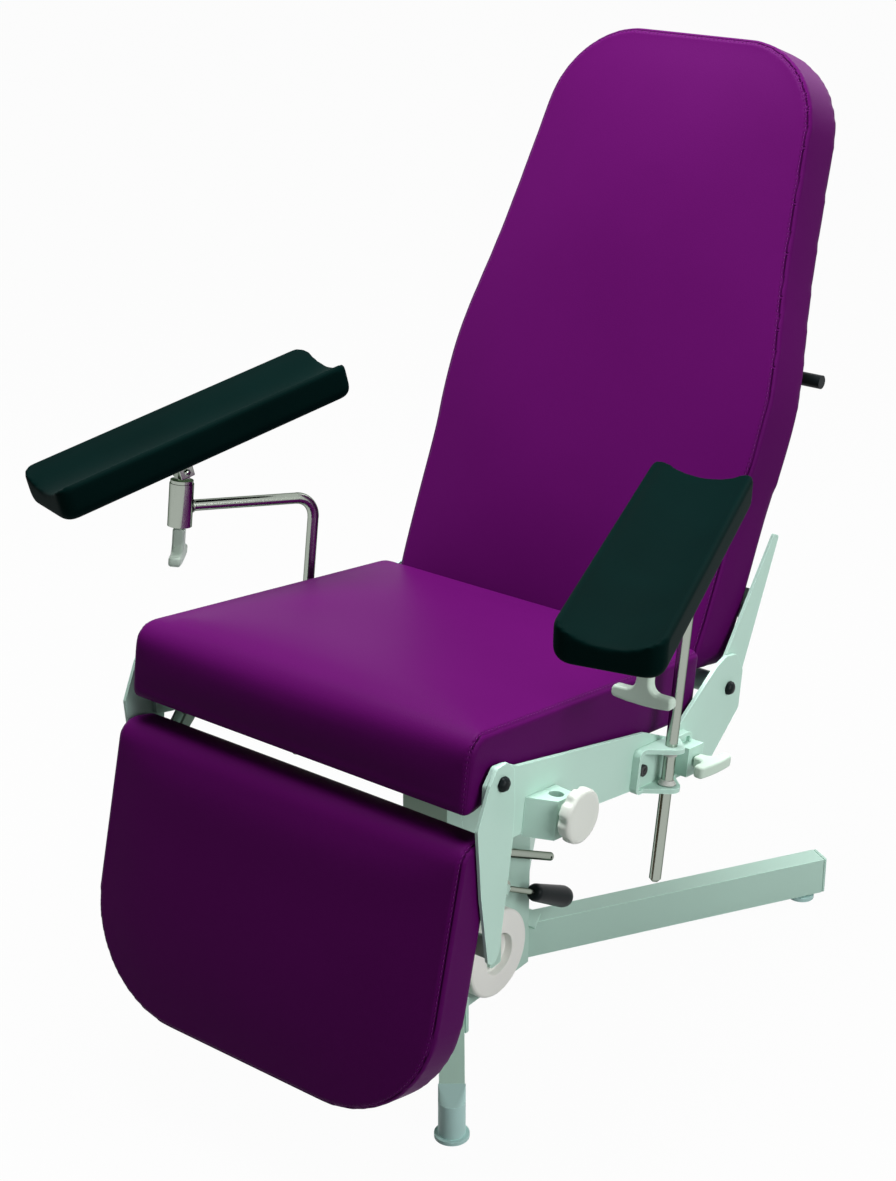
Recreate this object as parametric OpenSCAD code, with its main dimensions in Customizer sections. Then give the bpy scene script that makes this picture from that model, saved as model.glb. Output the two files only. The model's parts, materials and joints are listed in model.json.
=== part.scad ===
// Patient recliner for blood sampling: padded seat, back and leg rest on a splayed tube base,
// with two adjustable arm gutters. The front faces -Y, the sitter's left is +X, the floor is z = 0.
// Seat parts are drawn in a frame at the front pivot, tilted with the seat: X, s (back) and n (up).

/* [Seat] */
// Width of the seat cushion
seat_w = 512; // [460:2:560]
// Depth of the seat cushion
seat_d = 490; // [450:2:540]
// Height of the seat cushion's side, base to seam
seat_t = 91; // [75:1:94]
// Rise of the crown above the seam
seat_crown = 8; // [3:1:12]
// Roll of the cover over the seat's front edge
seat_roll = 30; // [10:1:34]
// Backward slope of the seat in degrees
seat_tilt = 8.2; // [4:0.1:10]
// Height of the front pivots above the floor
pivot_z = 530; // [500:1:580]
// Distance from the seat cushion's rear edge to the rear pivots
hip_gap = 58; // [56:1:80]

/* [Back] */
// Recline of the back from upright in degrees
recline = 25; // [18:0.5:32]
// Length of the back cushion
back_l = 798; // [680:2:840]
// Thickness of the back cushion at its side
back_t = 74; // [55:1:78]
// Width of the back cushion's top relative to its base
back_taper = 0.8; // [0.65:0.01:0.95]

/* [Leg rest] */
// Forward hang of the leg rest from vertical in degrees
leg_hang = 14.5; // [4:0.5:20]
// Length of the leg cushion
leg_l = 356; // [300:2:380]
// How far the leg cushion stands out past the seat cushion on each side
leg_over = 12; // [-10:1:24]
// Thickness of the leg cushion at its side
leg_t = 63; // [48:1:66]
// Roll of the cover over the leg cushion's top edge
leg_roll = 26; // [10:1:30]
// Radius of the leg cushion's lower corners
leg_r = 145; // [60:1:165]

/* [Base] */
// Depth of the column, front to back
col_d = 185; // [150:1:200]
// Width of the column
col_w = 72; // [60:1:80]
// Width of the leg tubes
tube_w = 32; // [25:1:36]
// Height of the leg tubes
tube_h = 55; // [45:1:65]
// Height of the leg tubes' underside above the floor
tube_z = 9; // [8:1:16]
// Splay of the front legs in degrees
front_splay = 37.4; // [30:0.1:45]
// Splay of the rear legs in degrees
rear_splay = 30.5; // [24:0.5:36]
// Reach of the rear legs to their feet
rear_reach = 485; // [400:1:520]
// Diameter of the transport wheels
wheel_d = 125; // [100:1:130]

/* [Arms] */
// Diameter of the arm rods
rod_d = 15; // [12:0.5:18]
// Length of the arm's forward bar, rod to sleeve
bar_l = 200; // [170:1:230]
// Outward turn of the left arm in degrees
yaw_left = 18.4; // [10:0.1:25]
// Outward turn of the right arm in degrees
yaw_right = 19.35; // [10:0.01:25]
// Length of the arm gutters
gutter_l = 425; // [360:1:450]
// Width of the arm gutters
gutter_w = 122; // [100:1:130]
// Dip of the left gutter below its bar in degrees
dip_left = 13.5; // [8:0.5:24]
// Dip of the right gutter below its bar in degrees
dip_right = 20.5; // [8:0.5:24]

// Place of the left gutter on its post, behind its middle
back_left = 6; // [-20:1:30]
// Place of the right gutter on its post, behind its middle
back_right = 26; // [-20:1:30]
// Place of the left arm along the seat rail
place_left = 336; // [325:1:345]
// Place of the right arm along the seat rail
place_right = 322; // [315:1:345]

/* [Fits] */
// Radial clearance of running fits
clear = 0.05; // [0.02:0.01:0.1]
// Diameter of the pivot pins
pin_d = 12; // [10:0.5:14]
// Diameter of the accessory socket's bore
socket_d = 18; // [16:0.5:20]

/* [Hidden] */
$fn = 48;

vinyl = [0.33, 0.08, 0.36];
paint = [0.68, 0.78, 0.73];
steel = [0.72, 0.72, 0.70];
black = [0.05, 0.05, 0.06];
handle = [0.66, 0.72, 0.70];
moulded = [0.07, 0.13, 0.13];
ivory = [0.86, 0.86, 0.83];
board = [0.45, 0.36, 0.26];

// Plates on each side, from the cushion outward: back arm, seat plate, leg arm.
plate_t = 4;
side_t = 5;
plate_gap = 1;
hw = seat_w / 2;
back_arm_x = hw + 2.5;
side_x = back_arm_x + plate_t + plate_gap;
leg_w = seat_w + 2 * leg_over;
leg_arm_x = max(side_x + side_t + plate_gap, leg_w / 2 + 1.5);
front_y = -357.1;
seat_front = 44;
pivot_gap = seat_d - seat_front + hip_gap;
col_y = front_y + pivot_gap - 202.4;
rear_root = col_y + 83;
front_root = col_y - 35;
axle_y = col_y - 12;

// Crank geometry shared by the leg rest and the back, so that they turn together.
crank_r = 75;
crank_a = 32;
crank_s = crank_r * sin(crank_a);
crank_n = -crank_r * cos(crank_a);
crank_pin = 10;
gas_n = -69;
crank_x = 82;
link_x = back_arm_x - 22.5;
function in_leg(p) =
  let (a = leg_hang - seat_tilt) [p.x * cos(a) - p.y * sin(a), p.x * sin(a) + p.y * cos(a)];

// Arm positions in the seat frame.
arm_x = side_x + side_t + 21.5;
bar_n = 157;
bend_r = 28;

tilt_n = 205;

function yaw(sgn) = sgn > 0 ? yaw_left : yaw_right;
function sleeve(sgn) = [arm_x + bar_l * sin(yaw(sgn)), -bar_l * cos(yaw(sgn)), 0];

function col_top(y) = pivot_z - (y - front_y) * tan(seat_tilt) - 58.3 / cos(seat_tilt);

module at_seat() {
  translate([0, front_y, pivot_z])
    rotate([-seat_tilt, 0, 0])
      children();
}

module at_back() {
  at_seat()
    translate([0, pivot_gap, 0])
      rotate([seat_tilt - recline, 0, 0])
        children();
}

module at_leg() {
  translate([0, front_y, pivot_z])
    rotate([-leg_hang, 0, 0])
      children();
}

// Arm frame: in the seat frame, on the chosen side, at the arm's place along the rail.
module at_arm(sgn) {
  at_seat()
    sided(sgn)
      translate([0, sgn > 0 ? place_left : place_right, 0])
        children();
}

module sided(sgn) {
  mirror([sgn < 0 ? 1 : 0, 0, 0])
    children();
}

// A flat plate drawn in the (s, n) plane and standing from x to x + t.
module plate(x, t) {
  translate([x, 0, 0])
    rotate([90, 0, 90])
      linear_extrude(t)
        children();
}

module rod_x(d, x0, x1) {
  translate([x0, 0, 0])
    rotate([0, 90, 0])
      cylinder(h = x1 - x0, d = d);
}

module rounded(r) {
  offset(r)
    offset(-2 * r)
      offset(r)
        children();
}

// Padded forms: closed outlines stacked from base to crown, each drawn in towards a centre.
function arc(c, r, a0, a1, m) =
  [for (i = [0 : m]) c + r * [cos(a0 + (a1 - a0) * i / m), sin(a0 + (a1 - a0) * i / m)]];

function box_ring(w, y0, y1, r0, r1, m) = concat(
  arc([w / 2 - r0, y0 + r0], r0, -90, 0, m),
  arc([w / 2 - r1, y1 - r1], r1, 0, 90, m),
  arc([-w / 2 + r1, y1 - r1], r1, 90, 180, m),
  arc([-w / 2 + r0, y0 + r0], r0, 180, 270, m));

// One edge, chosen by the roll's sign, can be drawn in further, so that the cover rolls over it.
function drawn_in(ring, d, roll, hx, hy, cy) =
  [for (p = ring)
    let (edge = max(0, -sign(roll) * (p.y - cy) / hy))
    [p.x * (1 - d / hx), cy + (p.y - cy) * (1 - d / hy) + roll * edge]];

module padded(ring, layers, hx, hy, cy) {
  m = len(ring);
  k = len(layers);
  points = [for (l = layers) for (p = drawn_in(ring, l[0], l[2], hx, hy, cy)) [p.x, p.y, l[1]]];
  walls = [for (j = [0 : k - 2]) for (i = [0 : m - 1]) for (h = [0, 1])
    let (a = j * m + i, b = j * m + (i + 1) % m)
    h == 0 ? [a, a + m, b + m] : [a, b + m, b]];
  base = [for (i = [0 : m - 1]) i];
  top = [for (i = [m - 1 : -1 : 0]) (k - 1) * m + i];
  polyhedron(points, concat([base, top], walls));
}

// Side profile of a cushion: rounded base, drawn-in waist, seam and crown.
function pad_layers(t, crown, roll) = [
  [9, 0, 0], [2, 4, 0], [0, 12, 0], [1.5, t * 0.5, roll * 0.02], [0, t - 12, roll * 0.2],
  [2, t - 4, roll * 0.43], [6, t + 1, roll * 0.6], [22, t + crown * 0.55, roll * 0.3],
  [60, t + crown * 0.88, 0], [120, t + crown, 0]];

// Half width of the back cushion against height, as shares of its base and length.
back_top_w = hw * back_taper;
back_top_r = hw / 2;
back_side = [
  [0.955, 0], [0.985, 0.03], [0.995, 0.12], [0.998, 0.25], [1.015, 0.34], [1.005, 0.45]];
function back_ring() =
  let (right = concat(
    [for (q = back_side) [hw * q[0], back_l * q[1]]],
    [[hw * (0.4925 + 0.525 * back_taper), back_l * 0.62],
     [back_top_w * 1.06, back_l * 0.78]],
    arc([back_top_w * 1.03 - back_top_r, back_l - back_top_r], back_top_r, 4, 84, 8)))
  concat(right, [for (i = [len(right) - 1 : -1 : 0]) [-right[i].x, right[i].y]]);

module column() {
  color(paint)
    difference() {
      rotate([90, 0, 90])
        linear_extrude(col_w, center = true)
          polygon([
            [col_y - col_d / 2, tube_z],
            [col_y + col_d / 2, tube_z],
            [col_y + col_d / 2, col_top(col_y + col_d / 2)],
            [col_y - col_d / 2, col_top(col_y - col_d / 2)]]);
      translate([-col_w / 2 + 4, col_y - col_d / 2 + 4, tube_z + 6])
        cube([col_w - 8, col_d - 8, 500]);
      at_axle()
        rod_x(pin_d, -60, 60);
    }
}

module column_head() {
  head = [col_w + 60, col_d + 7, 7.8];
  color(paint)
    at_seat()
      translate([-head.x / 2, col_y - front_y + 6.4 - head.y / 2, -58])
        cube(head);
}

module leg_tube(length) {
  translate([0, length / 2, tube_z + tube_h / 2])
    difference() {
      cube([tube_w, length, tube_h], center = true);
      cube([tube_w - 5, length + 2, tube_h - 5], center = true);
    }
}

bridge_y = col_y - col_d / 2 - 6.2;
front_reach = 280;

module front_leg(sgn) {
  color(paint)
    sided(sgn)
      intersection() {
        translate([0, front_root, 0])
          rotate([0, 0, 180 + front_splay])
            leg_tube(front_reach);
        translate([0.5, bridge_y - 300.2, 0])
          cube([400, 300, 100]);
      }
}

module front_leg_left() {
  front_leg(1);
}

module front_leg_right() {
  front_leg(-1);
}

module rear_leg(sgn) {
  color(paint)
    sided(sgn)
      difference() {
        intersection() {
          translate([0, rear_root, 0])
            rotate([0, 0, -rear_splay])
              leg_tube(rear_reach + 18);
          translate([0.2, col_y + col_d / 2 + 0.2, 0])
            cube([500, 600, 100]);
        }
        at_rear_foot()
          cylinder(h = 20, d = 10 + 2 * clear);
      }
}

module rear_leg_left() {
  rear_leg(1);
}

module rear_leg_right() {
  rear_leg(-1);
}

module at_rear_foot() {
  translate([0, rear_root, 0])
    rotate([0, 0, -rear_splay])
      translate([0, rear_reach - 8, 0])
        children();
}

module base_bridge() {
  color(paint)
    translate([-72, bridge_y, tube_z])
      cube([144, 6, tube_h]);
}

module base_gusset() {
  color(paint)
    translate([0, col_y + col_d / 2 + 0.2, tube_z + tube_h + 0.2])
      linear_extrude(3)
        polygon([[-46, 0], [46, 0], [30, 38], [-30, 38]]);
}

module rear_end_caps() {
  color(paint)
    for (sgn = [1, -1])
      sided(sgn)
        translate([0, rear_root, 0])
          rotate([0, 0, -rear_splay])
            translate([-tube_w / 2, rear_reach + 18.2, tube_z])
              cube([tube_w, 4, tube_h]);
}

// Moulded foot at the end of a front leg: rounded nose on a flat flange.
module front_feet() {
  color(handle)
    for (sgn = [1, -1])
      sided(sgn)
        translate([0, front_root, 0])
          rotate([0, 0, 180 + front_splay])
            translate([0, front_reach + 0.2, 0])
              front_foot();
}

module front_foot() {
  nose = tube_w / 2 + 1;
  translate([0, nose, 0])
    cylinder(h = 5, r = nose + 5);
  translate([0, nose, 5])
    cylinder(h = tube_z + tube_h - 17, r = nose);
  translate([-nose, 0, 5])
    cube([2 * nose, nose, tube_z + tube_h - 17]);
  hull() {
    translate([-nose, 0, tube_z + tube_h - 12])
      cube([2 * nose, 1, 12]);
    translate([0, nose, tube_z + tube_h - 12.1])
      cylinder(h = 0.1, r = nose);
  }
}

module levelling_foot(sgn) {
  color(handle)
    sided(sgn)
      at_rear_foot() {
        cylinder(h = 6, d = 38);
        translate([0, 0, 6])
          cylinder(h = tube_z - 6.4, d = 22);
        cylinder(h = tube_z + 24, d = 10);
      }
}

module levelling_foot_left() {
  levelling_foot(1);
}

module levelling_foot_right() {
  levelling_foot(-1);
}

// Transport wheels beside the column, just clear of the floor.
wheel_x = col_w / 2 + 4;
wheel_t = 22;

module at_axle() {
  translate([0, axle_y, wheel_d / 2 + 21.5])
    children();
}

module wheel_axle() {
  color(steel)
    at_axle() {
      rod_x(pin_d, -wheel_x - wheel_t + 6, wheel_x + wheel_t - 6);
      for (sgn = [1, -1])
        sided(sgn)
          plate(wheel_x + wheel_t - 11, 5)
            rounded(4)
              square([24, 40], center = true);
    }
}

module wheel(sgn) {
  color(ivory)
    sided(sgn)
      at_axle()
        difference() {
          translate([wheel_x, 0, 0])
            rotate([0, 90, 0])
              rotate_extrude($fn = 96)
                polygon([
                  [pin_d / 2 + clear, 0], [wheel_d / 2 - 3, 0], [wheel_d / 2, 3],
                  [wheel_d / 2, wheel_t - 3], [wheel_d / 2 - 3, wheel_t], [29, wheel_t],
                  [29, wheel_t - 12], [pin_d / 2 + clear, wheel_t - 12]]);
        }
}

module wheel_left() {
  wheel(1);
}

module wheel_right() {
  wheel(-1);
}

// Release lever and its fixed post, on a block at the column's left side.
lever_y = col_y - 10;
lever_z = 186;
lever_a = 29.5;
lever_d = 8;
block_x = col_w / 2 + 0.2;

module at_lever() {
  translate([0, lever_y, lever_z])
    rotate([-lever_a, 0, 0])
      children();
}

module pedal_block() {
  color(paint)
    difference() {
      union() {
        translate([block_x, lever_y - 14, 164])
          cube([24, 34, 76]);
        translate([0, lever_y, lever_z])
          rod_x(8, block_x + 20, block_x + 36);
        translate([0, lever_y, lever_z])
          rod_x(14, block_x + 33, block_x + 36);
      }
      at_post()
        translate([0, -6, 0])
          rotate([-90, 0, 0])
            cylinder(h = 200, d = 12);
    }
}

module at_post() {
  translate([block_x + 13, lever_y + 12, 229])
    rotate([-27, 0, 0])
      children();
}

module stub_post() {
  color(steel)
    at_post()
      difference() {
        rotate([-90, 0, 0])
          translate([0, 0, -6])
            union() {
              cylinder(h = 140, d = 12);
              translate([0, 0, 140])
                cylinder(h = 4, d1 = 12, d2 = 6);
            }
        translate([0, 128, 0])
          rod_x(4, -10, 10);
      }
}

module release_lever() {
  color(steel)
    at_lever()
      difference() {
        union() {
          rod_x(24, block_x + 24.4, block_x + 32.4);
          translate([block_x + 28.4, 0, 0])
            rotate([-90, 0, 0])
              cylinder(h = 150, d = lever_d);
        }
        rod_x(8 + 2 * clear, block_x + 20, block_x + 40);
      }
}

module lever_grip() {
  color(black)
    at_lever()
      translate([block_x + 28.4, 80, 0])
        rotate([-90, 0, 0])
          difference() {
            union() {
              cylinder(h = 6, d1 = 18, d2 = 25);
              translate([0, 0, 6])
                cylinder(h = 76, d1 = 25, d2 = 31);
              translate([0, 0, 82])
                cylinder(h = 12, d1 = 31, d2 = 18);
            }
            translate([0, 0, -1])
              cylinder(h = 71.2, d = lever_d);
          }
}

// Seat side plate: boss round the front pivot, straight rail, ear up to the rear pivot.
module side_shape() {
  g = pivot_gap;
  rounded(7)
    polygon([
      [-24, 0], [-10, 20], [10, 20], [34, 11], [g - 197, -15], [g - 132, -37],
      [g - 36, 36], [g - 14, 45], [g + 12, 43], [g + 33, 18], [g + 34, -34],
      [g - 24, -92], [g - 201, -87],
      [38, -76], [12, -74], [7, -46], [-20, -40]]);
}

module side_plate(sgn) {
  color(paint)
    at_seat()
      sided(sgn)
        difference() {
          plate(side_x, side_t)
            side_shape();
          for (s = [0, pivot_gap])
            translate([0, s, 0])
              rod_x(pin_d, side_x - 1, side_x + side_t + 1);
        }
}

module side_plate_left() {
  side_plate(1);
}

module side_plate_right() {
  side_plate(-1);
}

module seat_straps() {
  color(paint)
    at_seat()
      for (s = [100, seat_d - 160])
        translate([-side_x + 0.1, s, -50])
          cube([2 * side_x - 0.2, 40, 6]);
}

module seat_board() {
  color(board)
    at_seat()
      translate([-hw + 24, 38 - seat_front, -43.8])
        cube([seat_w - 48, seat_d - 72, 12]);
}

module seat_pad() {
  color(vinyl)
    at_seat()
      translate([0, -seat_front, -31])
        padded(
          box_ring(seat_w, 0, seat_d, 15, 16, 8),
          pad_layers(seat_t, seat_crown, seat_roll), hw, seat_d / 2, seat_d / 2);
}

module pivot_pins() {
  color(steel)
    at_seat()
      for (sgn = [1, -1])
        sided(sgn) {
          rod_x(pin_d, side_x - 1, leg_arm_x + plate_t + 0.3);
          translate([0, pivot_gap, 0])
            rod_x(pin_d, back_arm_x - 1, side_x + side_t + 0.3);
        }
}

module cap(x) {
  translate([x, 0, 0])
    rotate([0, 90, 0])
      rotate_extrude()
        polygon([[0, 0], [9, 0], [9, 2.5], [7.4, 5.2], [4.4, 7], [0, 7.6]]);
}

module pivot_caps() {
  color(black)
    at_seat()
      for (sgn = [1, -1])
        sided(sgn) {
          cap(leg_arm_x + plate_t + 0.4);
          translate([0, pivot_gap, 0])
            cap(side_x + side_t + 0.4);
        }
}

// Back: arms at the sides, tube on the pivot line with two forked cranks, strap, board, cushion.
module back_arm(sgn) {
  color(paint)
    at_back()
      sided(sgn)
        difference() {
          plate(back_arm_x, plate_t)
            rounded(4)
              polygon([
                [-30, 4], [-28, -14], [-10, -28], [12, -27], [27, -12], [36, 20],
                [38, 206], [24, 206], [-18, 40]]);
          rod_x(pin_d + 2 * clear, back_arm_x - 1, side_x);
        }
}

module back_arm_left() {
  back_arm(1);
}

module back_arm_right() {
  back_arm(-1);
}

module crank(x, p, eye) {
  for (dx = [-10, 6])
    plate(x + dx, 4)
      hull() {
        circle(r = eye);
        translate(p)
          circle(r = 9);
      }
}

module back_bars() {
  color(paint) {
    at_seat()
      translate([0, pivot_gap, 0]) {
        difference() {
          union() {
            rod_x(28, -back_arm_x + 0.3, back_arm_x - 0.3);
            crank(crank_x, [crank_s, crank_n], 13);
            crank(-link_x, [crank_s, crank_n], 13);
          }
          for (x = [-back_arm_x, back_arm_x - 10])
            rod_x(22, x, x + 10);
        }
        for (x = [-link_x, crank_x])
          translate([0, crank_s, crank_n])
            rod_x(crank_pin, x - 12, x + 12);
      }
    at_back()
      translate([-back_arm_x + 0.3, 27, 90])
        cube([2 * back_arm_x - 0.6, 6, 40]);
  }
}

back_t0 = 26;

module back_board() {
  color(board)
    at_back()
      translate([0, 26.6, back_t0])
        rotate([90, 0, 0])
          linear_extrude(12)
            offset(-18)
              polygon(back_ring());
}

module back_pad() {
  color(vinyl)
    at_back()
      translate([0, 14, back_t0])
        rotate([90, 0, 0])
          padded(
            back_ring(), pad_layers(back_t, 9, 0), hw, back_l / 2, back_l / 2);
}

module push_bar() {
  color(steel)
    at_back()
      translate([0, 50, 412]) {
        rod_x(14, 10 - hw, hw - 10);
        for (x = [-150, 142])
          translate([x, -23.2, -12])
            cube([8, 23.2, 24]);
      }
}

module push_grips() {
  color(black)
    at_back()
      translate([0, 50, 412])
        for (sgn = [1, -1])
          sided(sgn)
            difference() {
              rod_x(18, hw - 52, hw + 2);
              rod_x(14, hw - 53, hw - 10);
            }
}

// Leg rest: arms outside the seat plates, bar with a forked crank, strap, board, cushion.
leg_top = -72;
leg_arm_tip = leg_top - leg_l * 0.42;
leg_bar = [28.5, leg_top - 16];

module leg_arm(sgn) {
  color(paint)
    at_leg()
      sided(sgn)
        difference() {
          plate(leg_arm_x, plate_t)
            rounded(6)
              polygon([
                [-23, 0], [-14, 19], [4, 24], [20, 15], [33, -30], [41, -78],
                [51, leg_arm_tip + 12], [44, leg_arm_tip], [32, leg_arm_tip + 2],
                [-4, -135], [-33, -52]]);
          rod_x(pin_d + 2 * clear, leg_arm_x - 1, leg_arm_x + plate_t + 1);
        }
}

module leg_arm_left() {
  leg_arm(1);
}

module leg_arm_right() {
  leg_arm(-1);
}

module leg_bars() {
  pin = in_leg([crank_s, crank_n]);
  color(paint)
    at_leg() {
      translate([0, leg_bar.x, leg_bar.y]) {
        rod_x(12, -leg_arm_x + 0.1, leg_arm_x - 0.1);
        crank(-link_x, pin - leg_bar, 7);
      }
      translate([0, pin.x, pin.y])
        rod_x(crank_pin, -link_x - 12, -link_x + 12);
      translate([-leg_arm_x + 0.1, 31, leg_arm_tip + 8])
        cube([2 * leg_arm_x - 0.2, 6, 24]);
    }
}

function leg_ring() = box_ring(leg_w, -leg_l, 0, leg_r, 40, 9);

module leg_board() {
  color(board)
    at_leg()
      translate([0, 30.6, leg_top])
        rotate([90, 0, 0])
          linear_extrude(11)
            polygon(box_ring(leg_w - 32, 16 - leg_l, -28, leg_r - 16, 24, 9));
}

module leg_pad() {
  color(vinyl)
    at_leg()
      translate([0, 19.2, leg_top])
        rotate([90, 0, 0])
          padded(
            leg_ring(), pad_layers(leg_t, 8, -leg_roll), leg_w / 2, leg_l / 2, -leg_l / 2);
}

// Parallel link that turns the leg rest with the back.
module sync_link() {
  color(steel)
    at_seat()
      translate([0, crank_s, crank_n])
        difference() {
          plate(-link_x - 4, 8)
            union() {
              translate([0, -7])
                square([pivot_gap, 14]);
              circle(r = 10);
              translate([pivot_gap, 0])
                circle(r = 10);
            }
          rod_x(crank_pin + 1.2, -link_x - 8, -link_x + 8);
          translate([0, pivot_gap, 0])
            rod_x(crank_pin + 2 * clear, -link_x - 8, -link_x + 8);
        }
}

module gas_anchor() {
  color(paint)
    at_seat()
      translate([crank_x, 120, 0]) {
        for (dx = [-10, 6])
          translate([dx, -16, -82])
            cube([4, 32, 31.8]);
        translate([-10, -16, -54])
          cube([20, 32, 3.8]);
        translate([0, 0, gas_n])
          rod_x(crank_pin, -12, 12);
      }
}

module gas_cylinder() {
  color(black)
    at_seat()
      translate([crank_x, 0, gas_n])
        difference() {
          union() {
            translate([0, 120, 0])
              rod_x(20, -4, 4);
            translate([0, 128, 0])
              rotate([-90, 0, 0])
                cylinder(h = 14, d = 6);
            translate([0, 140, 0])
              rotate([-90, 0, 0])
                cylinder(h = 260, d = 26);
          }
          translate([0, 120, 0])
            rod_x(crank_pin, -5, 5);
          translate([0, 230, 0])
            rotate([-90, 0, 0])
              cylinder(h = 200, d = crank_pin + 2 * clear);
        }
}

module gas_rod() {
  end = pivot_gap + crank_s;
  color(steel)
    at_seat()
      translate([crank_x, 0, gas_n])
        difference() {
          union() {
            translate([0, 330, 0])
              rotate([-90, 0, 0])
                cylinder(h = end - 340, d = crank_pin);
            translate([-4, end - 14, -22])
              cube([8, 28, 44]);
          }
          for (n = [-7, 7])
            translate([0, end, n])
              rod_x(crank_pin + 2.2, -5, 5);
          translate([-5, end - crank_pin / 2 - 1.1, -7])
            cube([10, crank_pin + 2.2, 14]);
        }
}

// Clamp on the rail: rimmed back plate, two rounded flanges for the rod, block for the clamp screw.
module clamp_face() {
  rounded(9)
    translate([-52, -89])
      square([122, 57]);
}

module rail_clamp(sgn) {
  x0 = side_x + side_t + 0.2;
  color(paint)
    at_arm(sgn)
      difference() {
        union() {
          plate(x0, 5)
            clamp_face();
          plate(x0, 10)
            difference() {
              clamp_face();
              offset(-5)
                clamp_face();
            }
          for (n = [-89, -38])
            translate([0, 0, n])
              linear_extrude(6)
                hull() {
                  translate([arm_x, 0])
                    circle(d = 34);
                  translate([x0, -43])
                    square([3, 85]);
                }
          translate([x0, 42, -84])
            cube([24, 34, 38]);
        }
        translate([arm_x, 0, -95])
          cylinder(h = 70, d = rod_d + 0.2);
        translate([0, 59, -65])
          rod_x(8, x0 + 10, x0 + 30);
      }
}

module rail_clamp_left() {
  rail_clamp(1);
}

module rail_clamp_right() {
  rail_clamp(-1);
}

module arm_bush(sgn) {
  color(steel)
    at_arm(sgn)
      translate([arm_x, 0, -82])
        difference() {
          cylinder(h = 43, d = rod_d + 5);
          translate([0, 0, -1])
            cylinder(h = 46, d = rod_d + 2 * clear);
        }
}

module arm_bush_left() {
  arm_bush(1);
}

module arm_bush_right() {
  arm_bush(-1);
}

// Bent rod with the gutter's sleeve at its front end.
module arm_rod(sgn) {
  color(steel)
    at_arm(sgn)
      difference() {
        union() {
          translate([arm_x, 0, -208])
            cylinder(h = 208 + bar_n - bend_r, d = rod_d);
          translate([arm_x, 0, -212])
            cylinder(h = 4, d1 = rod_d - 7, d2 = rod_d);
          translate([arm_x, 0, bar_n - bend_r])
            rotate([0, 0, -90 + yaw(sgn)])
              translate([bend_r, 0, 0])
                rotate([90, 0, 0])
                  rotate([0, 0, 90])
                    rotate_extrude(angle = 90)
                      translate([bend_r, 0])
                        circle(d = rod_d + 0.3);
          translate([arm_x, 0, bar_n])
            rotate([0, 0, -90 + yaw(sgn)])
              translate([bend_r, 0, 0])
                rotate([0, 90, 0])
                  cylinder(h = bar_l - bend_r, d = rod_d);
          translate(sleeve(sgn) + [0, 0, 131])
            cylinder(h = 57, d = 32);
        }
        translate(sleeve(sgn) + [0, 0, 140])
          cylinder(h = 60, d = 18 + 2 * clear);
        translate(sleeve(sgn) + [0, 0, 130])
          cylinder(h = 20, d = 8 + 2 * clear);
      }
}

module arm_rod_left() {
  arm_rod(1);
}

module arm_rod_right() {
  arm_rod(-1);
}

module at_sleeve(sgn) {
  translate(sleeve(sgn))
    rotate([0, 0, yaw(sgn)])
      children();
}

// Post that turns in the sleeve; its tongue carries the gutter's tilt pin.
module gutter_post(sgn) {
  color(steel)
    at_arm(sgn)
      at_sleeve(sgn)
        difference() {
          union() {
            translate([0, 0, 160])
              cylinder(h = 30, d = 18);
            translate([0, 0, 188.4])
              cylinder(h = 4, d = 30);
            translate([-5, -9, 192])
              cube([10, 18, tilt_n - 192]);
            translate([0, 0, tilt_n])
              rod_x(18, -5, 5);
          }
          translate([0, 0, tilt_n])
            rod_x(8 + 2 * clear, -6, 6);
        }
}

module gutter_post_left() {
  gutter_post(1);
}

module gutter_post_right() {
  gutter_post(-1);
}

module trough() {
  difference() {
    rounded(9)
      translate([-gutter_w / 2, 20])
        square([gutter_w, 48]);
    translate([0, 68 + gutter_w * 0.62])
      circle(r = gutter_w * 0.75, $fn = 96);
  }
}

module gutter(sgn, dip, back) {
  color(moulded)
    at_arm(sgn)
      at_sleeve(sgn)
        translate([0, 0, tilt_n])
          rotate([dip, 0, 0]) {
            translate([0, back, 0])
              intersection() {
                translate([0, gutter_l / 2, 0])
                  rotate([90, 0, 0])
                    linear_extrude(gutter_l)
                      trough();
                translate([0, 0, 10])
                  linear_extrude(80)
                    rounded(22)
                      square([gutter_w, gutter_l], center = true);
              }
            for (x = [-13.4, 5.4])
              translate([x, -10, -8])
                cube([8, 20, 29]);
            rod_x(8, -13, 13);
          }
}

module gutter_left() {
  gutter(1, dip_left, back_left);
}

module gutter_right() {
  gutter(-1, dip_right, back_right);
}

// Moulded T handle on a screw that points along +Z: neck, filleted into a bar with round ends.
module tee(stem, wide, screw, reach) {
  bar = 16;
  fillet = 12;
  neck = 9;
  end = 5;
  foot = -stem - 12;
  half = concat(
    [[neck, -1]],
    arc([neck + fillet, foot + bar + fillet], fillet, 180, 270, 6),
    arc([wide / 2 - end, foot + bar - end], end, 90, 0, 4),
    arc([wide / 2 - end, foot + end + 2], end, 0, -80, 4),
    [[wide / 4, foot + 0.5]]);
  translate([0, 0, foot + bar])
    cylinder(h = reach - foot - bar, d = screw);
  rotate([90, 0, 0])
    linear_extrude(bar, center = true)
      polygon(concat(half, [for (i = [len(half) - 1 : -1 : 0]) [-half[i].x, half[i].y]]));
}

module sleeve_handle(sgn, turn) {
  color(handle)
    at_arm(sgn)
      at_sleeve(sgn)
        translate([0, 0, 130.4])
          rotate([0, 0, turn])
            tee(36, 76, 8, 20);
}

module sleeve_handle_left() {
  sleeve_handle(1, -14);
}

module sleeve_handle_right() {
  sleeve_handle(-1, 34);
}

module clamp_handle(sgn) {
  color(handle)
    at_arm(sgn)
      translate([side_x + side_t + 24.7, 59, -65])
        rotate([0, -90, 0])
          rotate([0, 0, 90])
            tee(22, 73, 7.9, 12);
}

module clamp_handle_left() {
  clamp_handle(1);
}

module clamp_handle_right() {
  clamp_handle(-1);
}

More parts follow.
